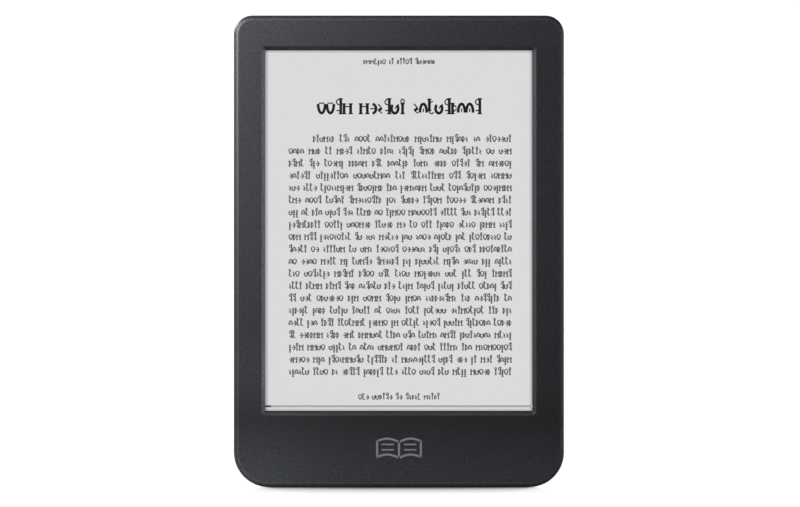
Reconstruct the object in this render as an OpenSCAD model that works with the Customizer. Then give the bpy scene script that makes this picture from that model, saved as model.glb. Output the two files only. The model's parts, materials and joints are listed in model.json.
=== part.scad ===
// Six-inch e-reader, standing on its bottom edge with the screen facing -Y.
// Every piece is drawn lying on its back: x is across, y is up the page, z is the height above the
// back face. stood_up() then turns it upright, so z becomes body_d / 2 - Y.

/* [Body] */
// Width across the face
body_w = 112; // [111.5:0.1:113]
// Height, standing on the bottom edge
body_h = 160; // [159.5:0.1:161]
// Thickness from face to back
body_d = 9.2; // [9.2:0.1:9.6]
// Radius of the two top corners
top_corner_r = 6.3; // [6:0.1:8]
// Radius of the two bottom corners
bottom_corner_r = 11.8; // [11.5:0.1:13.5]
// Rounding where the face meets the sides
front_edge_r = 1.7; // [1:0.1:1.9]
// Rounding where the back meets the sides
rear_edge_r = 2.6; // [2:0.1:2.8]
// Thickness of the rear cover's flat wall
rear_wall = 1.3; // [1.2:0.05:1.35]
// Thickness of the side walls
side_wall = 1.4; // [1.3:0.05:1.5]
// Height of the seam between the two shells, above the back face
seam_z = 6.8; // [6.7:0.1:7]
// Width of the seam
seam_gap = 0.12; // [0.08:0.02:0.16]

/* [Screen] */
// Width of the visible screen
screen_w = 90.8; // [90:0.1:91]
// Height of the visible screen
screen_h = 122.9; // [122:0.1:123]
// Distance from the top edge of the body down to the screen
screen_top_gap = 11.6; // [11.4:0.1:12]
// How much the opening widens on each side towards the face
screen_flare = 1.2; // [0.8:0.1:1.4]
// Thickness of the bezel around the opening
bezel_t = 1.4; // [1.3:0.05:1.5]

/* [Power button] */
// Sideways place of the button, from the middle
button_x = -38; // [-39:0.5:-37]
// Height of the button above the bottom edge
button_y = 25; // [24:0.5:26]
// Diameter of the button cap
button_dia = 8.4; // [8:0.1:9]
// Clearance around the cap
button_gap = 0.15; // [0.12:0.01:0.2]

/* [Charging port] */
// Width of the socket's metal shell
port_w = 8.94; // [8.9:0.01:9]
// Height of the socket's metal shell
port_h = 3.26; // [3.2:0.01:3.3]
// Height of the socket's middle above the back face
port_z = 4.3; // [4.2:0.05:4.4]

/* [Inside] */
// Thickness of the main board
board_t = 0.8; // [0.7:0.05:0.9]
// Width of the battery
battery_w = 64; // [56:1:68]
// Length of the battery
battery_l = 76; // [70:1:78]
// Thickness of the battery
battery_t = 3; // [2.6:0.1:3.1]

/* [Hidden] */
$fn = 96;

half_w = body_w / 2;
bezel_low = body_d - bezel_t;
screen_y = body_h - screen_top_gap - screen_h / 2;
opening_r = 0.4;
tongue_out = side_wall + 0.1;
tongue_in = tongue_out + 1.1;
tongue_low = 5.4;
hook_reach = 0.35;
hook_w = 6;
hook_low = 5.6;
hook_h = 0.6;
side_hooks = [25, 60, 95, 130];
end_hooks = [-30, 30];

// The stack behind the opening, from the front down: height of each layer's front face.
gasket_t = 0.2;
guide_front = bezel_low - gasket_t;
guide_t = 0.5;
touch_front = guide_front - guide_t;
touch_t = 0.2;
glue_front = touch_front - touch_t;
glue_t = 0.1;
ink_front = glue_front - glue_t;
ink_t = 0.3;
glass_front = ink_front - ink_t;
glass_t = 0.6;
tape_front = glass_front - glass_t;
tape_t = 0.1;
frame_front = tape_front - tape_t;
frame_t = 0.8;
frame_back = frame_front - frame_t;

glass_w = 101.8;
glass_h = 138.4;
glass_top = body_h - 7.1;
guide_w = 98;
guide_h = 130.6;
guide_top = screen_y + screen_h / 2 + 4;
ink_border = 1.4;
strip_t = 0.12;
strip_back = touch_front - 0.1;
led_rise = 0.4;

frame_inset = tongue_in + 0.1;
board_front = frame_back - 0.1;
board_back = board_front - board_t;
board_half = 50;
board_low = 5;
notch_l = 12;
board_top = 58;
chip_row_y = 41;

screw_r = 0.8;
screw_gap = 0.02;
screw_head_r = 1.4;
screw_head_t = 0.6;
boss_r = 1.7;
frame_screw_at = [[-42, 154.9], [0, 154.9], [42, 154.9], [-46.5, 9.2], [46.5, 9.2]];
board_screw_at = [[-46, 54], [46, 54], [-12, 33], [46, 17.5]];

socket_y = 19;
socket_l = 4;
socket_h = 1.1;
socket_back = board_back - socket_h;
flat_cable_t = 0.12;
cable_lane = board_back - 0.52;
latch_axis_y = socket_y + 1.5;
latch_axis_z = socket_back + 0.3;
display_cable_x = -22;
display_cable_w = 18;
touch_cable_x = 16;
touch_cable_w = 7;
light_cable_x = 29;
light_cable_w = 3.5;
cable_lanes = [
    [display_cable_x, display_cable_w], [touch_cable_x, touch_cable_w], [light_cable_x, light_cable_w]
];
cable_bend_y = 13.4;

button_travel = 0.3;
cap_low = 0.15;
cap_flange_r = button_dia / 2 + 1;
cap_dish_r = 34;
dish_depth = 0.45;
dish_half = 7.5;
dish_r = (dish_half * dish_half + dish_depth * dish_depth) / (2 * dish_depth);
dish_lift = dish_depth - dish_r;
plunger_r = 1;
plunger_tip = board_back - 1.6;
switch_h = 1.2;
pipe_r = 0.8;
pipe_x = button_x + 11;

port_wall = 0.3;
port_l = 7.35;
port_mouth_y = 0.25;
port_open_gap = 0.1;
port_room_l = 10.5;
tongue_plate_w = 6.69;
tongue_plate_l = 5.6;
tongue_plate_t = 0.7;

battery_low_y = 64;
battery_back = frame_back - 0.2 - battery_t;
lead_r = 0.4;
lead_z = 3.4;
lead_back = board_back - 1;

charcoal = [0.2, 0.2, 0.21];
plastic_black = [0.1, 0.1, 0.11];
metal = [0.75, 0.75, 0.77];
gold = [0.85, 0.68, 0.3];
film_amber = [0.8, 0.5, 0.15];
paper = [0.86, 0.86, 0.85];
board_green = [0.08, 0.3, 0.2];

module stood_up() {
    rotate([90, 0, 0]) translate([0, 0, -body_d / 2]) children();
}

// The body's outline, drawn in by i all round.
module outline(i) {
    rt = top_corner_r - i;
    rb = bottom_corner_r - i;
    half = half_w - i;
    translate([-half, i + rb]) square([2 * half, body_h - 2 * i - rb - rt]);
    translate([rb - half, i]) square([2 * (half - rb), rb + 1]);
    translate([rt - half, body_h - i - rt - 1]) square([2 * (half - rt), rt + 1]);
    for (s = [-1, 1]) {
        translate([s * (half - rb), i + rb]) circle(rb);
        translate([s * (half - rt), body_h - i - rt]) circle(rt);
    }
}

// A plate of the drawn-in outline between two heights.
module plate(i, low, high) {
    translate([0, 0, low]) linear_extrude(high - low) outline(i);
}

// Half cross-section through the edge of a shell: r wide, rounded at its low outer corner.
module edge_profile(r, depth, round_r) {
    difference() {
        square([r, depth]);
        difference() {
            translate([r - round_r, -1]) square([round_r + 1, round_r + 1]);
            translate([r - round_r, round_r]) circle(round_r);
        }
    }
}

module edge_bar(length, r, depth, round_r) {
    rotate([90, 0, 0]) linear_extrude(length) edge_profile(r, depth, round_r);
}

// A solid slab of the body's outline with its low edge rounded all the way round.
module soft_slab(depth, round_r) {
    rt = top_corner_r;
    rb = bottom_corner_r;
    lap = 2;
    for (s = [0, 1]) mirror([s, 0, 0]) {
        translate([half_w - rb, rb, 0])
            rotate(-90) rotate_extrude(angle = 90) edge_profile(rb, depth, round_r);
        translate([half_w - rt, body_h - rt, 0])
            rotate_extrude(angle = 90) edge_profile(rt, depth, round_r);
        translate([half_w - rt, body_h - rt, 0]) edge_bar(body_h - rb - rt, rt, depth, round_r);
    }
    translate([rt - half_w, body_h - rt, 0])
        rotate(90) edge_bar(2 * (half_w - rt), rt, depth, round_r);
    translate([half_w - rb, rb, 0]) rotate(-90) edge_bar(2 * (half_w - rb), rb, depth, round_r);
    translate([rt - half_w - lap, rb - lap, 0])
        cube([2 * (half_w - rt + lap), body_h - rb - rt + 2 * lap, depth]);
}

// A rounded rectangular hole, w by h at its low end, wider by flare on each side at its high end.
module flared_hole(w, h, r, flare, low, high) {
    a = w / 2 - r;
    b = h / 2 - r;
    rise = high - low;
    translate([0, b, low]) rotate([90, 0, 0]) linear_extrude(2 * b)
        polygon([[-a - r, 0], [a + r, 0], [a + r + flare, rise], [-a - r - flare, rise]]);
    translate([-a, 0, low]) rotate([90, 0, 90]) linear_extrude(2 * a)
        polygon([[-b - r, 0], [b + r, 0], [b + r + flare, rise], [-b - r - flare, rise]]);
    for (x = [-a, a], y = [-b, b])
        translate([x, y, low]) cylinder(r1 = r, r2 = r + flare, h = rise);
}

module block(w, h, low, high) {
    translate([-w / 2, -h / 2, low]) cube([w, h, high - low]);
}

// A round-ended slot shape, w long and h high, across x and z, running along y.
module slot_bar(w, h, length) {
    translate([0, length, 0]) rotate([90, 0, 0]) linear_extrude(length) {
        square([w - h, h], center = true);
        for (s = [-1, 1]) translate([s * (w - h) / 2, 0]) circle(h / 2);
    }
}

// One snap hook, pointing +x from the origin.
module hook(reach, w, h) {
    translate([0, w / 2, 0]) rotate([90, 0, 0]) linear_extrude(w)
        polygon([[-0.5, 0], [reach, 0.25 * h], [reach, 0.6 * h], [-0.5, h]]);
}

// Puts the children at each snap hook, x pointing out of the body, at the inset wall i.
module at_hooks(i) {
    for (y = side_hooks, s = [0, 1]) mirror([s, 0, 0]) translate([half_w - i, y, 0]) children();
    for (x = end_hooks) {
        translate([x, body_h - i, 0]) rotate(90) children();
        translate([x, i, 0]) rotate(-90) children();
    }
}

module front_bezel() {
    color(charcoal) stood_up() {
        difference() {
            union() {
                difference() {
                    translate([0, 0, body_d]) mirror([0, 0, 1])
                        soft_slab(body_d - seam_z - seam_gap, front_edge_r);
                    plate(tongue_in, seam_z - 1, bezel_low);
                }
                difference() {
                    plate(tongue_out, tongue_low, bezel_low);
                    plate(tongue_in, tongue_low - 1, bezel_low + 1);
                    translate([0, 0, tongue_low]) block(port_w + 3, 8, -1, 1.6);
                }
                at_hooks(tongue_out) translate([0, 0, hook_low]) hook(hook_reach, hook_w, hook_h);
                for (p = frame_screw_at) translate([p[0], p[1], frame_front])
                    cylinder(r = boss_r, h = bezel_low - frame_front + 0.2);
            }
            translate([0, screen_y, 0])
                flared_hole(screen_w, screen_h, opening_r, screen_flare, bezel_low + 0.15, body_d);
            translate([0, screen_y, 0])
                flared_hole(screen_w, screen_h, opening_r, 0, bezel_low - 1, bezel_low + 0.2);
            for (p = frame_screw_at) translate([p[0], p[1], frame_front - 1])
                cylinder(r = screw_r + screw_gap, h = bezel_low - frame_front + 0.9);
        }
    }
}

module rear_cover() {
    color(charcoal) stood_up() {
        difference() {
            soft_slab(seam_z, rear_edge_r);
            plate(side_wall, rear_wall, seam_z + 1);
            at_hooks(side_wall) translate([-1, -hook_w / 2 - 0.3, hook_low - 0.1])
                cube([1.45, hook_w + 0.6, hook_h + 0.2]);
            translate([button_x, button_y, -1]) cylinder(d = button_dia + 2 * button_gap, h = 4);
            translate([button_x, button_y, dish_lift]) sphere(r = dish_r);
            translate([pipe_x, button_y, -1]) cylinder(r = pipe_r + 0.05, h = 4);
            translate([0, -1, port_z])
                slot_bar(port_w + 2 * port_open_gap, port_h + 2 * port_open_gap, side_wall + 2);
        }
        for (s = [-1, 1]) for (y = [36 : 12 : 132])
            translate([s * (half_w - side_wall - 2), y, 0]) block(4.1, 1, rear_wall - 0.1, 3.4);
        for (x = [-45 : 10 : 45])
            translate([x, body_h - side_wall - 2.5, 0]) block(1, 5.1, rear_wall - 0.1, 3.4);
        for (y = [143.5, 149]) translate([0, y, 0]) block(96, 0.9, rear_wall - 0.1, 2.4);
    }
}

module bezel_gasket() {
    color(plastic_black) stood_up() difference() {
        translate([0, guide_top - guide_h / 2, 0]) block(guide_w, guide_h, guide_front, bezel_low);
        translate([0, screen_y, 0])
            block(screen_w + 2.4, screen_h + 2.4, guide_front - 1, bezel_low + 1);
    }
}

module light_guide() {
    color("white", 0.3) stood_up()
        translate([0, guide_top - guide_h / 2, 0]) block(guide_w, guide_h, touch_front, guide_front);
}

module touch_film() {
    color("lightblue", 0.3) stood_up()
        translate([0, guide_top - guide_h / 2, 0]) block(guide_w, guide_h, glue_front, touch_front);
}

module optical_adhesive() {
    color("white", 0.2) stood_up() translate([0, screen_y, 0])
        block(screen_w + 2 * ink_border, screen_h + 2 * ink_border, ink_front, glue_front);
}

module ink_film() {
    color(paper) stood_up() translate([0, screen_y, 0])
        block(screen_w + 2 * ink_border, screen_h + 2 * ink_border, glass_front, ink_front);
}

module backplane_glass() {
    color("teal") stood_up()
        translate([0, glass_top - glass_h / 2, 0]) block(glass_w, glass_h, tape_front, glass_front);
}

// Five slim driver chips in a row on the glass below the ink film.
module driver_chips() {
    color("dimgray") stood_up() for (x = [-40, -20, 0, 20, 40])
        translate([x, glass_top - glass_h + 7.4, 0]) block(12, 1.2, glass_front, glass_front + 0.25);
}

// A flat cable that folds from the front of the frame to a socket behind it.
// front is the height of its front face there, and start_y and end_y are where its two ends lie.
module folded_cable(x, w, front, start_y, end_y) {
    bend_r = (front - cable_lane) / 2;
    bend_z = cable_lane + bend_r;
    t = flat_cable_t;
    translate([x + w / 2, 0, 0]) rotate([90, 0, -90]) linear_extrude(w) mirror([1, 0]) {
        translate([cable_bend_y, front - t]) square([start_y - cable_bend_y, t]);
        translate([cable_bend_y, cable_lane]) square([end_y - cable_bend_y, t]);
        intersection() {
            translate([cable_bend_y, bend_z]) difference() {
                circle(bend_r);
                circle(bend_r - t);
            }
            translate([cable_bend_y - 10, cable_lane - 10]) square([10, 30]);
        }
    }
}

module display_cable() {
    color(film_amber) stood_up() folded_cable(display_cable_x, display_cable_w,
        glass_front + flat_cable_t, glass_top - glass_h + 4, socket_y + 3);
}

module touch_cable() {
    color(film_amber) stood_up() folded_cable(touch_cable_x, touch_cable_w,
        glue_front, guide_top - guide_h + 2, socket_y + 3);
}

// The front-light strip under the lower edge of the guide, with its own tail.
module light_strip() {
    low = glass_top - glass_h + 1;
    high = guide_top - guide_h - 0.1;
    color(film_amber) stood_up() {
        translate([0, (low + high) / 2, 0]) block(96, high - low, strip_back, strip_back + strip_t);
        folded_cable(light_cable_x, light_cable_w, strip_back + strip_t, low + 1, socket_y + 3);
    }
}

module front_light_leds() {
    color("gold") stood_up() for (i = [0 : 15])
        translate([-45 + 6 * i, guide_top - guide_h - 0.75, 0])
            block(2.6, 1.2, strip_back + strip_t, strip_back + strip_t + led_rise);
}

module screen_tape() {
    color("black") stood_up() difference() {
        translate([0, glass_top - glass_h / 2, 0]) block(glass_w - 2, glass_h - 2, frame_front, tape_front);
        translate([0, glass_top - glass_h / 2, 0]) block(80, 112, frame_front - 1, tape_front + 1);
    }
}

module mid_frame() {
    color(metal) stood_up() difference() {
        plate(frame_inset, frame_back, frame_front);
        block(port_w + 3, 2 * port_room_l, 0, body_d);
        for (c = cable_lanes)
            translate([c[0], cable_bend_y - 1.3, 0]) block(c[1] + 1.2, 4.2, 0, body_d);
        for (x = [-34, 34], y = [80, 104, 128])
            translate([x, y, 0]) cylinder(r = 6, h = body_d);
        for (p = concat(frame_screw_at, board_screw_at))
            translate([p[0], p[1], 0]) cylinder(r = screw_r + screw_gap, h = body_d);
    }
}

// A pan-head screw whose head rests at height seat and whose shank points to the face.
module screw(seat, length) {
    difference() {
        union() {
            translate([0, 0, seat - screw_head_t]) cylinder(r = screw_head_r, h = screw_head_t);
            translate([0, 0, seat - 0.1]) cylinder(r = screw_r, h = length + 0.1);
        }
        for (a = [0, 90]) rotate(a) block(1.5, 0.35, seat - screw_head_t - 1, seat - 0.25);
    }
}

module frame_screws() {
    color("silver") stood_up() for (p = frame_screw_at)
        translate([p[0], p[1], 0]) screw(frame_back, bezel_low - frame_back - 0.3);
}

module board_screws() {
    color("silver") stood_up() for (p = board_screw_at)
        translate([p[0], p[1], 0]) screw(board_back, frame_front - board_back - 0.05);
}

module main_board() {
    color(board_green) stood_up() difference() {
        translate([0, (board_low + board_top) / 2, 0])
            block(2 * board_half, board_top - board_low, board_back, board_front);
        for (s = [-1, 1]) translate([s * board_half, board_low, 0]) block(16, 16, 0, body_d);
        block(port_w + 1, 2 * (port_mouth_y + port_l + 0.3), 0, body_d);
        for (c = cable_lanes)
            translate([c[0], board_low, 0]) block(c[1] + 2, 2 * notch_l, 0, body_d);
        for (p = board_screw_at)
            translate([p[0], p[1], 0]) cylinder(r = screw_r + 0.1, h = body_d);
    }
}

// A flat package on the back of the board, rise tall.
module package(x, y, w, h, rise) {
    translate([x, y, 0]) block(w, h, board_back - rise, board_back);
}

module board_shield() {
    color(metal) stood_up() difference() {
        package(14, chip_row_y, 34, 20, 1.7);
        translate([14, chip_row_y, 0]) block(33.6, 19.6, board_back - 1.5, board_back + 1);
    }
}

module processor() {
    color(plastic_black) stood_up() package(7, chip_row_y, 14, 14, 1.1);
}

module memory_chip() {
    color(plastic_black) stood_up() package(22.5, chip_row_y, 11, 10, 1);
}

module storage_chip() {
    color(plastic_black) stood_up() package(-13, 44, 11.5, 13, 0.9);
}

module power_chip() {
    color(plastic_black) stood_up() package(-29, 48, 7, 7, 0.85);
}

module screen_power_chip() {
    color(plastic_black) stood_up() package(-27, 31, 6, 6, 0.8);
}

module coils() {
    color("dimgray") stood_up() {
        for (x = [-38, -34.2]) package(x, 48, 3, 3, 1.2);
        for (y = [37, 41]) package(-27, y, 3, 3, 1.2);
    }
}

// Small chip capacitors in short rows beside the chips that they serve.
module capacitors() {
    color("tan") stood_up() {
        for (x = [-33 : 1.8 : -25]) package(x, 54, 0.6, 1.1, 0.5);
        for (y = [27 : 1.8 : 35]) package(-33, y, 1.1, 0.6, 0.5);
        for (x = [-18 : 1.8 : -8]) package(x, 53, 0.6, 1.1, 0.5);
        for (x = [2 : 1.8 : 12]) package(x, 28, 0.6, 1.1, 0.5);
        for (y = [38 : 1.8 : 46]) package(34, y, 1.1, 0.6, 0.5);
    }
}

module crystal() {
    color("silver") stood_up() package(20, 28, 3.2, 2.5, 0.7);
}

module wireless_module() {
    color("silver") stood_up() package(42, 43, 11, 13, 1.6);
}

module magnet_sensor() {
    color(plastic_black) stood_up() package(46.5, 27, 2.9, 1.6, 1.1);
}

// A cable socket whose mouth faces down the page, with a well and bearings for its latch.
module socket(x, cable_w) {
    w = cable_w + 4;
    translate([x, 0, 0]) difference() {
        translate([0, socket_y + socket_l / 2, 0]) block(w, socket_l, socket_back, board_back);
        translate([0, socket_y + 1.5, 0]) block(cable_w + 0.3, 3.2, cable_lane - 0.03, cable_lane + 0.2);
        translate([0, socket_y + 0.5, 0]) block(cable_w + 2.4, 2.9, socket_back - 1, cable_lane - 0.02);
        translate([-w, latch_axis_y, latch_axis_z]) rotate([0, 90, 0]) cylinder(r = 0.17, h = 2 * w);
    }
}

// The latch lies over the mouth and turns on two small pins.
module latch(x, cable_w) {
    w = cable_w + 2.2;
    translate([x, latch_axis_y, latch_axis_z]) {
        translate([-w / 2, 0, 0]) rotate([0, 90, 0]) cylinder(r = 0.22, h = w);
        translate([-w / 2 - 0.6, 0, 0]) rotate([0, 90, 0]) cylinder(r = 0.14, h = w + 1.2);
        translate([-w / 2, -1.4, -0.22]) cube([w, 1.4, 0.26]);
    }
}

module display_socket() {
    color("ivory") stood_up() socket(display_cable_x, display_cable_w);
}

module display_latch() {
    color(plastic_black) stood_up() latch(display_cable_x, display_cable_w);
}

module touch_socket() {
    color("ivory") stood_up() socket(touch_cable_x, touch_cable_w);
}

module touch_latch() {
    color(plastic_black) stood_up() latch(touch_cable_x, touch_cable_w);
}

module light_socket() {
    color("ivory") stood_up() socket(light_cable_x, light_cable_w);
}

module light_latch() {
    color(plastic_black) stood_up() latch(light_cable_x, light_cable_w);
}

module switch_body() {
    color("silver") stood_up() difference() {
        package(button_x, button_y, 4.6, 4.6, switch_h);
        translate([button_x, button_y, board_back - switch_h - 1])
            cylinder(r = plunger_r + 0.08, h = 1 + switch_h - 0.2);
    }
}

module switch_plunger() {
    color(plastic_black) stood_up() translate([button_x, button_y, plunger_tip])
        cylinder(r = plunger_r, h = board_back - 0.2 - button_travel - 0.1 - plunger_tip);
}

// The cap stands in the cover's hole. Its flange stops it from behind and its stem meets the plunger.
module power_button() {
    color(plastic_black) stood_up() translate([button_x, button_y, 0]) difference() {
        union() {
            translate([0, 0, cap_low]) cylinder(d = button_dia, h = rear_wall + 0.3 - cap_low);
            translate([0, 0, rear_wall + 0.02]) cylinder(r = cap_flange_r, h = 0.45);
            translate([0, 0, rear_wall]) cylinder(r = 1.3, h = plunger_tip - rear_wall);
        }
        translate([0, 0, cap_low - cap_dish_r + 0.25]) sphere(r = cap_dish_r);
    }
}

module button_ring() {
    color("dimgray") stood_up() translate([button_x, button_y, rear_wall]) difference() {
        cylinder(r = cap_flange_r + 1.6, h = 0.9);
        translate([0, 0, -1]) cylinder(r = cap_flange_r + 0.3, h = 3);
    }
}

module status_led() {
    color("white") stood_up() package(pipe_x, button_y, 1.6, 0.8, 0.4);
}

module light_pipe() {
    color("white", 0.5) stood_up() translate([pipe_x, button_y, 0]) {
        translate([0, 0, 0.05]) cylinder(r = pipe_r, h = board_back - 0.6);
        translate([0, 0, rear_wall]) cylinder(r = pipe_r + 0.6, h = 0.5);
    }
}

module port_shell() {
    color("silver") stood_up() translate([0, port_mouth_y, port_z]) difference() {
        union() {
            slot_bar(port_w, port_h, port_l);
            for (s = [-1, 1], y = [5.6, 7]) translate([s * (port_w / 2 + 0.7), y, board_back - port_z])
                block(2, 0.8, -0.2, 0);
        }
        translate([0, -1, 0])
            slot_bar(port_w - 2 * port_wall, port_h - 2 * port_wall, port_l - port_wall + 1);
    }
}

module port_tongue() {
    color(plastic_black) stood_up() translate([0, port_mouth_y + port_l - port_wall, port_z]) {
        translate([-tongue_plate_w / 2, -tongue_plate_l, -tongue_plate_t / 2])
            cube([tongue_plate_w, tongue_plate_l, tongue_plate_t]);
        translate([0, -1.6, 0])
            slot_bar(port_w - 2 * port_wall - 0.1, port_h - 2 * port_wall - 0.1, 1.6);
    }
}

// Twelve contacts on each face of the tongue.
module port_contacts() {
    color(gold) stood_up()
        translate([0, port_mouth_y + port_l - port_wall - tongue_plate_l + 0.4, port_z])
            for (i = [0 : 11], s = [0, 1]) mirror([0, 0, s])
                translate([0.5 * (i - 5.5) - 0.12, 0, tongue_plate_t / 2]) cube([0.24, 3.5, 0.05]);
}

module port_seal() {
    color("black") stood_up() translate([0, side_wall + 0.1, port_z]) difference() {
        slot_bar(port_w + 1.9, port_h + 1.5, 0.9);
        translate([0, -1, 0]) slot_bar(port_w + 0.02, port_h + 0.02, 3);
    }
}

module battery() {
    color("silver") stood_up() {
        translate([0, battery_low_y + battery_l / 2, 0])
            block(battery_w - 2, battery_l, battery_back, battery_back + battery_t);
        translate([0, battery_low_y + battery_l / 2, 0])
            block(battery_w, battery_l - 2, battery_back + 0.5, battery_back + battery_t - 0.3);
    }
}

module battery_board() {
    color(board_green) stood_up()
        translate([0, battery_low_y - 1.4, 0]) block(30, 2.6, 3, 3.7);
}

module battery_socket() {
    color("ivory") stood_up() difference() {
        package(0, 54.6, 8, 4.6, 1.5);
        translate([0, 55.6, 0]) block(6.4, 4.6, board_back - 1.3, board_back - 0.2);
    }
}

module battery_plug() {
    color("white") stood_up()
        translate([0, 55.65, 0]) block(6.2, 4.4, board_back - 1.2, board_back - 0.3);
}

module battery_leads() {
    for (i = [0 : 2]) color(["red", "white", "black"][i]) stood_up()
        translate([1.6 * (i - 1), battery_low_y - 2.7, lead_z])
            rotate([90, 0, 0]) cylinder(r = lead_r, h = battery_low_y - 2.7 - 57.85);
}

module battery_tape() {
    color("white") stood_up() for (s = [-1, 1])
        translate([s * 14, battery_low_y + battery_l / 2, 0])
            block(12, battery_l - 10, battery_back + battery_t, frame_back);
}

module battery_pad() {
    color("dimgray") stood_up() translate([0, battery_low_y + battery_l / 2, 0])
        block(battery_w - 14, battery_l - 20, rear_wall, battery_back);
}

module antenna() {
    color(gold) stood_up() {
        translate([33, 146.5, 0]) block(24, 7, frame_back - 0.15, frame_back);
        translate([38.8, 145.3, 0]) block(2.4, 2, lead_back, frame_back - 0.15);
    }
}

// Coaxial lead from the wireless module up beside the battery to the antenna.
module antenna_lead() {
    r = 0.45;
    turn = 3;
    low_y = 49.5;
    turn_y = 142.3;
    color("gray") stood_up() translate([40, turn_y, lead_back + r]) {
        translate([turn, low_y - turn_y, 0]) rotate([-90, 0, 0]) cylinder(r = r, h = turn_y - low_y);
        rotate_extrude(angle = 90) translate([turn, 0]) circle(r);
    }
}

front_bezel();
rear_cover();
bezel_gasket();
light_guide();
touch_film();
optical_adhesive();
ink_film();
backplane_glass();
driver_chips();
display_cable();
touch_cable();
light_strip();
front_light_leds();
screen_tape();
mid_frame();
frame_screws();
board_screws();
main_board();
board_shield();
processor();
memory_chip();
storage_chip();
power_chip();
screen_power_chip();
coils();
capacitors();
crystal();
wireless_module();
magnet_sensor();
display_socket();
display_latch();
touch_socket();
touch_latch();
light_socket();
light_latch();
switch_body();
switch_plunger();
power_button();
button_ring();
status_led();
light_pipe();
port_shell();
port_tongue();
port_contacts();
port_seal();
battery();
battery_board();
battery_socket();
battery_plug();
battery_leads();
battery_tape();
battery_pad();
antenna();
antenna_lead();
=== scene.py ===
"""Looks, light and camera of the e-reader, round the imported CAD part. Lengths are in millimetres
until MM turns them into metres."""

import json
import math
import random

import bmesh
import bpy
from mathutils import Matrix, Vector


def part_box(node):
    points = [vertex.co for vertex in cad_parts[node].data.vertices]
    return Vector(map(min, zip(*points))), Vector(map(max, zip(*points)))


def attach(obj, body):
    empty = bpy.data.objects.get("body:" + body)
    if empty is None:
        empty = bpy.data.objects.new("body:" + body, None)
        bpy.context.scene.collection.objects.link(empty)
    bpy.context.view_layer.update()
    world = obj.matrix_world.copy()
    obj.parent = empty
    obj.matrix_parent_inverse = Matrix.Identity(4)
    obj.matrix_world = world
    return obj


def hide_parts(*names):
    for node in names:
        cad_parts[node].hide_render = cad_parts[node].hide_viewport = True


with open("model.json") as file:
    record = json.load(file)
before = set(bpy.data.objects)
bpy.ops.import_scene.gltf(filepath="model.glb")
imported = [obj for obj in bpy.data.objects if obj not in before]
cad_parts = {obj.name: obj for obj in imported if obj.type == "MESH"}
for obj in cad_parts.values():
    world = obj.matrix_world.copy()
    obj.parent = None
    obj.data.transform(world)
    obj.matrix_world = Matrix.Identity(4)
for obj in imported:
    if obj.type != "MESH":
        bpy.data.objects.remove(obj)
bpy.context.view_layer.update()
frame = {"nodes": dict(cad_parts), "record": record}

MM = 0.001
SEED = 21

nodes = frame["nodes"]
slot_of = {part["node"]: part["material_slot"] for part in frame["record"]["subparts"]}


def box_mm(node):
    """A node's lowest and highest corners in millimetres."""
    low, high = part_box(node)
    return Vector(low) / MM, Vector(high) / MM


BODY_LOW, BODY_HIGH = box_mm("rear_cover")
FACE_Y = box_mm("front_bezel")[0].y
BACK_Y = BODY_HIGH.y
BODY_W = BODY_HIGH.x - BODY_LOW.x
BODY_H = BODY_HIGH.z
INK_LOW, INK_HIGH = box_mm("ink_film")
# the ink film's edge that the bezel hides
INK_BORDER = 1.4
INK_Y = INK_LOW.y
PAGE_LEFT = INK_LOW.x + INK_BORDER
PAGE_RIGHT = INK_HIGH.x - INK_BORDER
PAGE_TOP = INK_HIGH.z - INK_BORDER
PAGE_LOW = INK_LOW.z + INK_BORDER


# ---------------------------------------------------------------- materials

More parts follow.
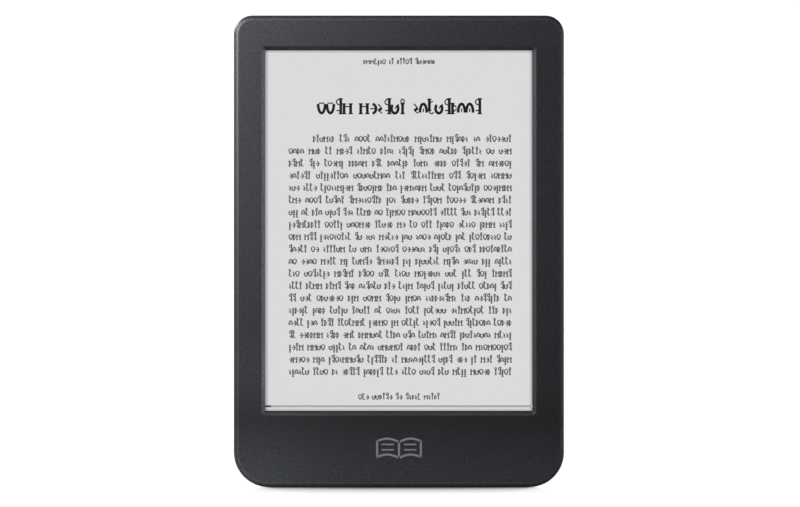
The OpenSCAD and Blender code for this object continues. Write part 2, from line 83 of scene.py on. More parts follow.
class Paint:
    """A procedural material in the making. Sizes are in millimetres on the object."""

    def __init__(self, name, colour, roughness, **sockets):
        self.material = bpy.data.materials.new(name)
        self.material.use_nodes = True
        self.nodes = self.material.node_tree.nodes
        self.links = self.material.node_tree.links
        self.shader = self.nodes["Principled BSDF"]
        coordinates = self.nodes.new("ShaderNodeTexCoord")
        self.place = coordinates.outputs["Object"]
        self.look = coordinates.outputs["Normal"]
        self.colour = None
        self.normal = None
        self.shader.inputs["Base Color"].default_value = (*colour, 1)
        self.shader.inputs["Roughness"].default_value = roughness
        for socket, value in sockets.items():
            self.shader.inputs[socket.replace("_", " ").title().replace("Ior", "IOR")].default_value = value

    def stretched(self, stretch):
        """The object's coordinates with each axis scaled, so that a pattern is drawn out."""
        mapping = self.nodes.new("ShaderNodeMapping")
        mapping.inputs["Scale"].default_value = stretch
        self.links.new(self.place, mapping.inputs["Vector"])
        return mapping.outputs["Vector"]

    def noise(self, size, detail=2.0, stretch=None):
        """Soft random patches about size across."""
        texture = self.nodes.new("ShaderNodeTexNoise")
        texture.inputs["Scale"].default_value = 1 / (size * MM)
        texture.inputs["Detail"].default_value = detail
        self.links.new(self.stretched(stretch) if stretch else self.place, texture.inputs["Vector"])
        return texture.outputs[0]

    def cells(self, size, feature="F1", metric="EUCLIDEAN", randomness=1.0, stretch=None):
        """Distance inside random cells about size across."""
        texture = self.nodes.new("ShaderNodeTexVoronoi")
        texture.feature = feature
        if feature != "DISTANCE_TO_EDGE":
            texture.distance = metric
        texture.inputs["Scale"].default_value = 1 / (size * MM)
        texture.inputs["Randomness"].default_value = randomness
        self.links.new(self.stretched(stretch) if stretch else self.place, texture.inputs["Vector"])
        return texture.outputs["Distance"]

    def bands(self, pitch):
        """Soft stripes across X, from 0 to 1 and back in one pitch."""
        texture = self.nodes.new("ShaderNodeTexWave")
        texture.bands_direction = "X"
        # a wave texture of scale 1 repeats every 2 pi / 20 units
        texture.inputs["Scale"].default_value = math.tau / 20 / (pitch * MM)
        self.links.new(self.place, texture.inputs["Vector"])
        return texture.outputs["Fac"]

    def along(self, axis, start, end, low=0.0, high=1.0):
        """A ramp from low at start to high at end along an axis of the object."""
        split = self.nodes.new("ShaderNodeSeparateXYZ")
        self.links.new(self.place, split.inputs[0])
        return self.scaled(split.outputs[axis], start * MM, end * MM, low, high)

    def facing(self, axis, start, end, low=0.0, high=1.0):
        """A ramp over how far the surface looks along an axis of the object, from -1 to 1."""
        split = self.nodes.new("ShaderNodeSeparateXYZ")
        self.links.new(self.look, split.inputs[0])
        return self.scaled(split.outputs[axis], start, end, low, high)

    def maths(self, operation, *values):
        """A number worked out from fields and plain numbers."""
        step = self.nodes.new("ShaderNodeMath")
        step.operation = operation
        for socket, value in zip(step.inputs, values):
            if isinstance(value, (int, float)):
                socket.default_value = value
            else:
                self.links.new(value, socket)
        return step.outputs[0]

    def product(self, fields):
        """All the fields multiplied together."""
        total = fields[0]
        for field in fields[1:]:
            total = self.maths("MULTIPLY", total, field)
        return total

    def inside(self, fields, factor):
        """A shade that is the factor where all the fields are 1, and 1 where any is 0."""
        return self.scaled(self.product(fields), 0, 1, 1.0, factor)

    def scaled(self, field, from_low, from_high, low=0.0, high=1.0):
        """The field mapped from one range to another, and held at its ends."""
        ranged = self.nodes.new("ShaderNodeMapRange")
        for socket, value in zip(ranged.inputs[1:5], (from_low, from_high, low, high)):
            socket.default_value = value
        self.links.new(field, ranged.inputs[0])
        return ranged.outputs[0]

    def blended(self, field, first, second):
        """A colour that runs from first to second with the field. Either may be a socket."""
        mix = self.nodes.new("ShaderNodeMix")
        mix.data_type = "RGBA"
        self.links.new(field, mix.inputs[0])
        for socket, colour in ((mix.inputs[6], first), (mix.inputs[7], second)):
            if isinstance(colour, tuple):
                socket.default_value = (*colour, 1)
            else:
                self.links.new(colour, socket)
        return mix.outputs[2]

    def mottled(self, field, dark, light):
        """Base colour between dark and light."""
        self.colour = self.blended(field, dark, light)
        self.links.new(self.colour, self.shader.inputs["Base Color"])

    def stained(self, field, colour):
        """Another colour over the base colour where the field is high."""
        self.colour = self.blended(field, self.colour, colour)
        self.links.new(self.colour, self.shader.inputs["Base Color"])

    def shaded(self, field):
        """The base colour multiplied by the field, which may be over 1."""
        times = self.nodes.new("ShaderNodeVectorMath")
        times.operation = "MULTIPLY"
        self.links.new(self.colour, times.inputs[0])
        self.links.new(field, times.inputs[1])
        self.colour = times.outputs[0]
        self.links.new(self.colour, self.shader.inputs["Base Color"])

    def polished(self, field, low, high):
        """Roughness between low and high."""
        self.links.new(self.scaled(field, 0.2, 0.8, low, high), self.shader.inputs["Roughness"])

    def bumped(self, field, height):
        """Relief height tall where the field is 1."""
        bump = self.nodes.new("ShaderNodeBump")
        bump.inputs["Distance"].default_value = height * MM
        self.links.new(field, bump.inputs["Height"])
        if self.normal:
            self.links.new(self.normal, bump.inputs["Normal"])
        self.normal = bump.outputs[0]
        self.links.new(self.normal, self.shader.inputs["Normal"])


def shade(colour, factor):
    return tuple(channel * factor for channel in colour)


def grained_plastic(name, colour, roughness, grain=0.35, relief=0.012, **sockets):
    """Moulded plastic from a fine spark-eroded mould, slightly polished by handling."""
    speckle = 0.3
    cool = (0.95, 1.0, 1.05)
    warm = (1.05, 1.0, 0.95)
    paint = Paint(name, colour, roughness, **sockets)
    fine = paint.noise(grain, 3.0)
    pebbles = paint.noise(2.6 * grain, 2.0)
    tinted = []
    for factor in (1 - speckle, 1 + speckle):
        tints = [tuple(c * factor * k for c, k in zip(colour, tint)) for tint in (cool, warm)]
        tinted.append(paint.blended(paint.scaled(paint.noise(4.2 * grain), 0.35, 0.65), *tints))
    paint.mottled(paint.scaled(pebbles, 0.3, 0.7), *tinted)
    paint.polished(paint.noise(28, 3.0), roughness - 0.03, roughness + 0.03)
    paint.bumped(pebbles, 3.5 * relief)
    paint.bumped(fine, relief)
    return paint


def bezel_plastic(colour):
    """The front's plastic, with painted light and shade: lighter and darker zones over the face, and painted
    highlights and shade on the opening's lips and along the rim.
    """
    paint = grained_plastic("bezel_plastic", colour, 0.46, specular_ior_level=0.5)
    in_opening = paint.product([
        paint.along("X", PAGE_LEFT - 4, PAGE_LEFT - 3), paint.along("X", PAGE_RIGHT + 4, PAGE_RIGHT + 3),
        paint.along("Z", PAGE_TOP - 127, PAGE_TOP - 126), paint.along("Z", PAGE_TOP + 4, PAGE_TOP + 3),
    ])
    on_rim = paint.scaled(in_opening, 0, 1, 1.0, 0.0)
    paint.shaded(paint.product(painted_face_light_and_shade(paint) + painted_lip_light_and_shade(paint) + painted_rim_highlight_and_shade(paint, on_rim)))
    return paint


def painted_face_light_and_shade(paint):
    """Painted light and shade on the flat front: lighter at the top and the foot, darker over the chin, a
    lighter patch at the chin's left, and lighter or darker zones on both sides.
    """
    # each factor is painted light where it is over 1 and painted shade where it is under 1
    painted_top_light = paint.along("Z", 146, 159, 1.0, 1.22)
    painted_chin_shade = paint.along("Z", 36, 25, 1.0, 0.62)
    painted_foot_light = paint.along("Z", 22, 2, 1.0, 3.0)
    painted_chin_left_light = paint.inside([paint.along("Z", 52, 32), paint.along("X", -18, -42)], 1.35)
    painted_chin_shade_whole = paint.along("Z", 40, 30, 1.0, 0.87)
    painted_left_high_shade = paint.inside([paint.along("Z", 100, 130), paint.along("X", -30, -45)], 0.93)
    painted_left_low_light = paint.inside([paint.along("Z", 115, 95), paint.along("X", -30, -45)], 1.05)
    painted_right_low_shade = [paint.along("Z", 90, 55), paint.along("Z", 28, 38), paint.along("X", 30, 48)]
    return [
        painted_top_light, painted_chin_shade, painted_foot_light, painted_chin_left_light, painted_chin_shade_whole, painted_left_high_shade, painted_left_low_light,
        paint.inside(painted_right_low_shade, 0.84),
    ]


def painted_lip_light_and_shade(paint):
    """Painted light and shade on the opening's sloped lips: painted shade on the upper lip, painted
    highlights on the left, right and lower lips, and a painted dark line of shade at the foot of the lower
    one.
    """
    upper = [paint.facing("Z", -0.3, -0.75), paint.along("Z", 90, 110)]
    left = [paint.facing("X", 0.3, 0.75), paint.along("X", -30, -40)]
    right = [paint.facing("X", -0.3, -0.75), paint.along("X", 30, 40)]
    lower = [paint.facing("Z", 0.3, 0.75), paint.along("Z", 40, 30)]
    lower_lip_foot_shade = lower + [paint.along("Z", PAGE_LOW - 0.45, PAGE_LOW - 0.25)]
    # painted shade on the upper lip and at the lower lip's foot, painted highlights on the other lips
    return [
        paint.inside(upper, 0.05), paint.inside(left, 6.0), paint.inside(right, 1.3),
        paint.inside(lower, 1.6), paint.inside(lower_lip_foot_shade, 0.2),
    ]


def painted_rim_highlight_and_shade(paint, on_rim):
    """A painted highlight line where the front rolls into its edge, and a painted dark line of shade beyond
    it on the lit sides.
    """
    painted_highlight_line = [on_rim, paint.facing("Y", -0.9995, -0.99), paint.facing("Y", -0.91, -0.97)]
    lit_sides = paint.maths("ADD", paint.facing("X", -0.3, -0.6), paint.facing("Z", 0.3, 0.6))
    painted_shade_line = [on_rim, lit_sides, paint.facing("Y", -0.8, -0.65), paint.facing("Y", -0.1, -0.35)]
    return [paint.inside(painted_highlight_line, 1.75), paint.inside(painted_shade_line, 0.6)]


def cast_metal(name, colour, roughness):
    """Die-cast light metal with a fine skin and faint flow marks."""
    paint = Paint(name, colour, roughness, metallic=1.0)
    paint.mottled(paint.noise(6, 4.0), shade(colour, 0.86), shade(colour, 1.08))
    paint.polished(paint.noise(3, 3.0), roughness - 0.06, roughness + 0.08)
    paint.bumped(paint.noise(0.25, 2.0), 0.006)
    return paint


def brushed_metal(name, colour, roughness, stretch=(0.06, 1, 1)):
    """Rolled sheet with fine drawn lines, which run along the axis whose stretch is small."""
    paint = Paint(name, colour, roughness, metallic=1.0)
    lines = paint.noise(0.12, 2.0, stretch)
    paint.mottled(lines, shade(colour, 0.8), shade(colour, 1.12))
    paint.polished(lines, roughness - 0.05, roughness + 0.1)
    paint.bumped(lines, 0.002)
    return paint


def soft_rubber(name, colour, cell, relief):
    """Foam or rubber with small open cells."""
    paint = Paint(name, colour, 0.85)
    pores = paint.cells(cell)
    paint.mottled(paint.noise(1.5, 3.0), shade(colour, 0.75), shade(colour, 1.3))
    paint.bumped(pores, relief)
    return paint


def painted_lip_shade(paint):
    """Painted shade along each side of the page, where the bezel's lip would cast it, and a painted dark
    line of shade next to the lip.
    """
    soft_w = 1.25
    soft_tone = 0.45
    line_tone = 0.03
    line_end_w = 0.15
    fields = []
    # axis, edge, way into the page, and the painted dark line's width
    sides = (("X", PAGE_LEFT, 1, 0.0), ("X", PAGE_RIGHT, -1, 0.1),
             ("Z", PAGE_LOW, 1, 0.28), ("Z", PAGE_TOP, -1, 0.16))
    for axis, edge, inward, line_w in sides:
        fields.append(paint.along(axis, edge, edge + inward * soft_w, soft_tone, 1.0))
        if line_w:
            line_end = edge + inward * line_w
            fields.append(paint.along(axis, line_end, line_end + inward * line_end_w, line_tone, 1.0))
    return paint.product(fields)


def page_paper():
    """Electronic paper: a grey-white field of fine capsules. Most of its brightness is a glow that stands
    for its own front light and, as painted light, for the lamps' light on the page; the painted shade of the
    bezel's lip darkens both its colour and its glow.
    """
    colour = (0.2, 0.2, 0.2)
    glow = 0.675
    paint = Paint("paper_white", colour, 0.75, specular_ior_level=0.2)
    capsules = paint.noise(0.09, 2.0)
    lip = painted_lip_shade(paint)
    paint.mottled(capsules, shade(colour, 0.96), shade(colour, 1.04))
    paint.shaded(lip)
    # painted light: a little more glow on the right, away from the key light, so that the page looks even
    glow_tones = paint.product([lip, paint.along("X", PAGE_LEFT, PAGE_RIGHT, 0.99, 1.01)])
    paint.links.new(glow_tones, paint.shader.inputs["Emission Color"])
    paint.shader.inputs["Emission Strength"].default_value = glow
    paint.bumped(capsules, 0.001)
    return paint


def page_ink(name, tone, glow):
    """Dark or grey capsules of a printed mark, with a glow that stands for the front light and, as painted
    light, for the lamps' light on it.
    """
    colour = (tone, tone, tone)
    paint = Paint(name, colour, 0.8, specular_ior_level=0.0)
    paint.mottled(paint.noise(0.09, 2.0), shade(colour, 0.85), shade(colour, 1.15))
    paint.shader.inputs["Emission Color"].default_value = (1, 1, 1, 1)
    paint.shader.inputs["Emission Strength"].default_value = glow
    return paint


def clear_film():
    """Clear coated film: almost invisible, with a faint satin face."""
    colour = (0.9, 0.92, 0.93)
    paint = Paint("clear_film", colour, 0.35, alpha=0.004)
    paint.mottled(paint.noise(0.3), shade(colour, 0.97), shade(colour, 1.03))
    paint.bumped(paint.noise(0.05, 1.0), 0.0005)
    return paint


def panel_glass():
    """Glass that carries the screen's transistors in a fine grid."""
    paint = Paint("panel_glass", (0.05, 0.09, 0.09), 0.12)
    grid = paint.cells(0.12, metric="CHEBYCHEV", randomness=0.0)
    paint.mottled(paint.scaled(grid, 0.3, 0.5), (0.05, 0.09, 0.09), (0.16, 0.2, 0.19))
    paint.polished(paint.noise(12, 2.0), 0.08, 0.16)
    return paint


def circuit_board():
    """Green solder mask over copper tracks, with tinned vias."""
    paint = Paint("board", (0.012, 0.1, 0.05), 0.3)
    tracks = paint.cells(1.6, "DISTANCE_TO_EDGE", stretch=(1, 1, 1.4))
    vias = paint.cells(1.1)
    paint.mottled(paint.scaled(tracks, 0.05, 0.1), (0.03, 0.2, 0.09), (0.01, 0.085, 0.045))
    paint.stained(paint.scaled(vias, 0.1, 0.07), (0.55, 0.5, 0.36))
    paint.bumped(paint.scaled(tracks, 0.1, 0.05), 0.03)
    paint.polished(paint.noise(2, 3.0), 0.24, 0.36)
    return paint


def flat_cable():
    """Amber film over parallel copper tracks."""
    paint = Paint("flat_cable", (0.55, 0.26, 0.05), 0.3)
    tracks = paint.bands(0.5)
    paint.mottled(paint.scaled(tracks, 0.35, 0.65), (0.36, 0.15, 0.03), (0.62, 0.32, 0.08))
    paint.bumped(paint.scaled(tracks, 0.35, 0.65), 0.012)
    paint.polished(paint.noise(3), 0.22, 0.36)
    return paint


def foil_pouch():
    """Aluminium laminate, slightly creased."""
    colour = (0.6, 0.61, 0.63)
    paint = Paint("pouch_silver", colour, 0.36, metallic=0.9)
    creases = paint.noise(7, 5.0)
    paint.mottled(creases, shade(colour, 0.82), shade(colour, 1.1))
    paint.polished(paint.noise(2.5, 3.0), 0.28, 0.46)
    paint.bumped(creases, 0.25)
    paint.bumped(paint.cells(1.2, "DISTANCE_TO_EDGE"), 0.01)
    return paint


def moulded(name, colour, roughness, **sockets):
    """Small moulded piece with faint flow marks."""
    paint = Paint(name, colour, roughness, **sockets)
    paint.mottled(paint.noise(1.2, 3.0), shade(colour, 0.88), shade(colour, 1.1))
    paint.polished(paint.noise(2.5, 2.0), roughness - 0.06, roughness + 0.08)
    paint.bumped(paint.noise(0.15), 0.004)
    return paint


def battery_wires():
    """Insulated leads, coloured black, white and red from left to right."""
    paint = Paint("lead_wire", (0.5, 0.03, 0.02), 0.4)
    paint.mottled(paint.along("X", -0.81, -0.79), (0.015, 0.015, 0.015), (0.7, 0.7, 0.68))
    paint.stained(paint.along("X", 0.79, 0.81), (0.5, 0.03, 0.02))
    paint.bumped(paint.noise(0.4), 0.01)
    return paint


def make_materials():
    charcoal = (0.0204, 0.0219, 0.0262)
    black = (0.016, 0.016, 0.017)
    gold = (0.8, 0.56, 0.22)
    steel_grey = (0.56, 0.56, 0.57)
    paints = [
        bezel_plastic(charcoal),
        grained_plastic(
            "cover_plastic", shade(charcoal, 0.9), 0.5, grain=0.45, relief=0.008, specular_ior_level=0.35),
        grained_plastic("button_plastic", black, 0.36, grain=0.25, relief=0.006),
        page_paper(),
        clear_film(),
        panel_glass(),
        soft_rubber("foam_black", (0.02, 0.02, 0.02), 0.35, 0.08),
        soft_rubber("seal_rubber", (0.03, 0.03, 0.032), 0.2, 0.01),
        cast_metal("frame_metal", (0.5, 0.5, 0.52), 0.4),
        brushed_metal("steel", steel_grey, 0.3),
        brushed_metal("contact_gold", gold, 0.24, (1, 1, 0.1)),
        circuit_board(),
        moulded("chip_black", (0.018, 0.018, 0.02), 0.55),
        moulded("socket_ivory", (0.66, 0.6, 0.48), 0.45),
        moulded("latch_black", (0.02, 0.02, 0.02), 0.4),
        flat_cable(),
        moulded("capacitor_tan", (0.42, 0.29, 0.17), 0.4),
        foil_pouch(),
        moulded("adhesive_white", (0.72, 0.72, 0.7), 0.6),
        moulded("light_clear", (0.75, 0.78, 0.8), 0.18, coat_weight=0.4),
        moulded("led_yellow", (0.85, 0.7, 0.16), 0.3),
        battery_wires(),
        moulded("coax_grey", (0.2, 0.2, 0.215), 0.45),
    ]
    # Blender puts a dot and a number after a name that the frame's own material has
    return {paint.material.name.split(".")[0]: paint.material for paint in paints}


# ---------------------------------------------------------------- mesh helpers

def add_piece(name, vertices, faces, material):
    """A mesh piece on the reader's body. Its vertices are in millimetres."""
    mesh = bpy.data.meshes.new(name)
    mesh.from_pydata([Vector(v) * MM for v in vertices], [], faces)
    mesh.validate()
    mesh.materials.append(material)
    piece = bpy.data.objects.new(name, mesh)
    bpy.context.collection.objects.link(piece)
    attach(piece, "reader")


class Print:
    """Flat marks a hair thick, standing on a face that looks towards -Y."""

    def __init__(self, face_y, thickness):
        self.face_y = face_y
        self.top_y = face_y - thickness
        self.vertices = []
        self.faces = []

    def ribbon(self, points, widths):
        """A stroke along the points, (x, z) each, with its own width at each."""
        start = len(self.vertices)
        count = len(points)
        for i, point in enumerate(points):
            before = points[max(i - 1, 0)]
            after = points[min(i + 1, count - 1)]
            way = Vector((after[0] - before[0], after[1] - before[1])).normalized()
            side = Vector((-way.y, way.x)) * widths[i] / 2
            for y in (self.face_y, self.top_y):
                for sign in (1, -1):
                    self.vertices.append((point[0] + sign * side.x, y, point[1] + sign * side.y))
        for i in range(count - 1):
            a = start + 4 * i
            b = a + 4
            self.faces += [
                (a + 2, b + 2, b + 3, a + 3), (a, a + 1, b + 1, b),
                (a, b, b + 2, a + 2), (a + 1, a + 3, b + 3, b + 1),
            ]
        last = start + 4 * (count - 1)
        self.faces += [(start, start + 2, start + 3, start + 1), (last, last + 1, last + 3, last + 2)]

    def bar(self, x0, x1, z, width):
        self.ribbon([(x0, z), (x1, z)], [width, width])

    def place(self, name, material, slot="paper_white"):
        add_piece(name, self.vertices, self.faces, material)


# ---------------------------------------------------------------- the page

# Made-up signs in units of the height of a low sign: a width, then strokes. A line is x, z to x, z,
# and an arc is centre x, z, radii x, z, and start and end degrees. The last number of each is 1 for a
# thick stroke and 0 for a thin one.
SIGNS = [
    (0.80, [
        ("line", 0.62, 0, 0.62, 1.45, 1),
        ("arc", 0.62, 1.12, 0.42, 0.3, 90, 250, 0),
        ("line", 0.2, 0.3, 0.62, 0.3, 0),
    ]),
    (0.86, [
        ("arc", 0.43, 0.1, 0.33, 0.85, 0, 180, 1),
        ("line", 0.43, 0.15, 0.43, 0.5, 0),
    ]),
    (0.70, [
        ("line", 0.2, 0, 0.2, 1, 1),
        ("line", 0.2, 0.95, 0.6, 0.6, 0),
        ("line", 0.2, 0.1, 0.6, 0.45, 0),
    ]),
    (0.92, [
        ("arc", 0.46, 0.95, 0.34, 0.9, 180, 360, 1),
        ("line", 0.2, 1.02, 0.72, 1.02, 0),
    ]),
    (0.62, [
        ("line", 0.3, -0.4, 0.3, 0.95, 1),
        ("line", 0.1, 0.55, 0.55, 0.55, 0),
        ("line", 0.1, 0.15, 0.5, 0.15, 0),
    ]),
    (0.88, [
        ("arc", 0.42, 0.5, 0.32, 0.46, 130, 410, 1),
        ("line", 0.42, 0.5, 0.8, 0.92, 0),
    ]),
    (1.05, [
        ("line", 0.2, 0, 0.2, 0.95, 1),
        ("line", 0.84, 0, 0.84, 0.95, 1),
        ("arc", 0.52, 0.5, 0.3, 0.2, 0, 180, 0),
    ]),
    (0.66, [
        ("line", 0.14, 0.95, 0.5, 0.52, 0),
        ("line", 0.5, 0.52, 0.16, 0.3, 1),
        ("line", 0.16, 0.3, 0.56, 0.02, 0),
    ]),
    (0.74, [
        ("line", 0.36, 0, 0.36, 0.95, 1),
        ("arc", 0.36, 1.2, 0.16, 0.2, 0, 360, 0),
    ]),
    (0.84, [
        ("arc", 0.3, 0.48, 0.42, 0.46, -80, 80, 1),
        ("line", 0.14, 0.48, 0.7, 0.48, 0),
    ]),
    (0.78, [
        ("line", 0.22, 0.3, 0.22, 1.4, 1),
        ("arc", 0.44, 0.3, 0.24, 0.3, 180, 330, 0),
        ("line", 0.22, 1, 0.56, 1.2, 0),
    ]),
]
# how thick the page's ink lies
INK_THICK = 0.02
# how close the signs of a word stand, as a part of their own widths
CLOSENESS = 0.92
# how many signs a word of the text can have
WORD_LENGTHS = [2, 3, 3, 4, 4, 5, 5, 6, 7, 9]
# pens: the width of a thick stroke and of a thin one, and half the length of a serif
SMALL_PEN = (0.355, 0.325, 0)
TEXT_PEN = (0.43, 0.32, 0.34)
TITLE_PEN = (0.95, 0.42, 0.74)


def draw_sign(page, sign, x, z, size, pen):
    """One sign with its foot at x, z. size is the height of a low sign."""
    thick, thin, serif = pen
    for kind, *numbers, weight in sign[1]:
        width = thick if weight else thin
        if kind == "line":
            x0, z0, x1, z1 = numbers
            points = [(x + x0 * size, z + z0 * size), (x + x1 * size, z + z1 * size)]
            if serif and weight and x0 == x1:
                for foot in points:
                    page.bar(foot[0] - serif, foot[0] + serif, foot[1], thin)
        else:
            cx, cz, rx, rz, start, end = numbers
            steps = 3 + int(abs(end - start) * size / 60)
            points = []
            for i in range(steps + 1):
                turn = math.radians(start + (end - start) * i / steps)
                points.append((x + (cx + rx * math.cos(turn)) * size, z + (cz + rz * math.sin(turn)) * size))
        page.ribbon(points, [width] * len(points))


def random_word(dice):
    return [dice.choice(SIGNS) for _ in range(dice.choice(WORD_LENGTHS))]


def word_width(word, size):
    return sum(sign[0] for sign in word) * size * CLOSENESS


def draw_words(page, words, left, z, size, gap, pen):
    x = left
    for word in words:
        for sign in word:
            draw_sign(page, sign, x, z, size, pen)
            x += sign[0] * size * CLOSENESS
        x += gap


def set_line(page, dice, left, right, z, size, pen):
    """Words that fill a line from left to right, with equal gaps."""
    least_gap = 0.55 * size
    words = []
    used = 0.0
    while True:
        word = random_word(dice)
        if used + word_width(word, size) + least_gap * len(words) > right - left:
            break
        words.append(word)
        used += word_width(word, size)
    gap = (right - left - used) / max(len(words) - 1, 1)
    draw_words(page, words, left, z, size, gap, pen)


def set_centred(page, dice, lengths, middle, width, z, pen):
    """Words with the given numbers of signs, at the size that makes them width wide, centred."""
    words = [[dice.choice(SIGNS) for _ in range(length)] for length in lengths]
    gap = 0.65
    size = width / (sum(word_width(word, 1) for word in words) + gap * (len(words) - 1))
    draw_words(page, words, middle - width / 2, z, size, gap * size, pen)


def make_page(dice):
    """Header, title, twenty lines of text, footer and the reading-progress line."""
    black = page_ink("ink_black", 0.01, 0.0).material
    grey = page_ink("ink_grey", 0.05, 0.04).material
    text_grey = page_ink("ink_text", 0.05, 0.07).material
    line_grey = page_ink("ink_line_grey", 0.12, 0.35).material
    middle = (PAGE_LEFT + PAGE_RIGHT) / 2

    header = Print(INK_Y, INK_THICK)
    set_centred(header, dice, (7, 2, 5, 6), middle, 24.4, PAGE_TOP - 4.9, SMALL_PEN)
    header.place("page_header", grey)

    title = Print(INK_Y, INK_THICK)
    set_centred(title, dice, (4, 6, 9), middle, 55.7, PAGE_TOP - 21.7, TITLE_PEN)
    title.place("page_title", black)

    make_text(dice, middle, text_grey)

    footer = Print(INK_Y, INK_THICK)
    set_centred(footer, dice, (3, 6, 2, 5, 5), middle, 27.8, PAGE_TOP - 118.7, SMALL_PEN)
    footer.place("page_footer", grey)

    make_progress_line(line_grey, grey)


def make_text(dice, middle, ink):
    """Lines of words between two margins, the first of them indented."""
    text = Print(INK_Y, INK_THICK)
    lines = 20
    first_line = 31.2
    pitch = 4.16
    left = middle - 37.5
    right = middle + 38.2
    indent = 8.2
    sign_h = 1.7
    for row in range(lines):
        start = left + (indent if row == 0 else 0)
        z = PAGE_TOP - first_line - pitch * row
        set_line(text, dice, start, right, z, sign_h, TEXT_PEN)
    text.place("page_text", ink)


def make_progress_line(track_ink, done_ink):
    """A thin line across the foot of the page, dark over the part already read."""
    width = 0.72
    z = PAGE_TOP - 120.97
    read_w = 2
    track = Print(INK_Y, INK_THICK)
    track.bar(PAGE_LEFT, PAGE_RIGHT, z, width)
    track.place("progress_track", track_ink)
    done = Print(INK_Y - INK_THICK, INK_THICK)
    done.bar(PAGE_LEFT, PAGE_LEFT + read_w, z, width)
    done.place("progress_done", done_ink)


def mark_grey():
    """Matt grey printing ink."""
    colour = (0.25, 0.25, 0.27)
    paint = Paint("mark_grey", colour, 0.5)
    paint.mottled(paint.noise(0.3, 3.0), shade(colour, 0.85), shade(colour, 1.15))
    paint.bumped(paint.noise(0.2), 0.004)
    return paint


def make_chin_mark():
    """An open book printed in grey on the chin."""
    thickness = 0.012
    half_w = 7.4
    low_z = 9.9
    page_h = 5.4
    sag = 1.0
    lift = 0.35
    pen = 0.7
    text_pen = 0.7 * pen
    spine_end = 0.3
    edge_low = 0.05
    edge_high = 0.65
    text_rows = 2
    text_start = 1.7
    text_border = 1.5
    curve_steps = 8
    mark = Print(FACE_Y, thickness)
    for side in (-1, 1):
        for z in (low_z, low_z + page_h):
            curve = []
            for i in range(curve_steps + 1):
                t = i / curve_steps
                curve.append((side * half_w * t, z + sag * math.sin(math.pi * t) + lift * t))
            mark.ribbon(curve, [pen] * len(curve))
        edge = side * half_w
        mark.ribbon([(edge, low_z + edge_low), (edge, low_z + page_h + edge_high)], [pen, pen])
        for row in range(1, text_rows + 1):
            z = low_z + page_h * row / (text_rows + 1) + sag
            mark.bar(side * text_start, side * (half_w - text_border), z, text_pen)
    mark.ribbon([(0, low_z - spine_end), (0, low_z + page_h + spine_end)], [pen, pen])
    mark.place("chin_mark", mark_grey().material, "bezel_plastic")


# ---------------------------------------------------------------- the dimpled back

# millimetres: points this close are one point, and points this close to a plane lie in it
SAME_PLACE = 0.0001
NEARLY_THERE = 0.001


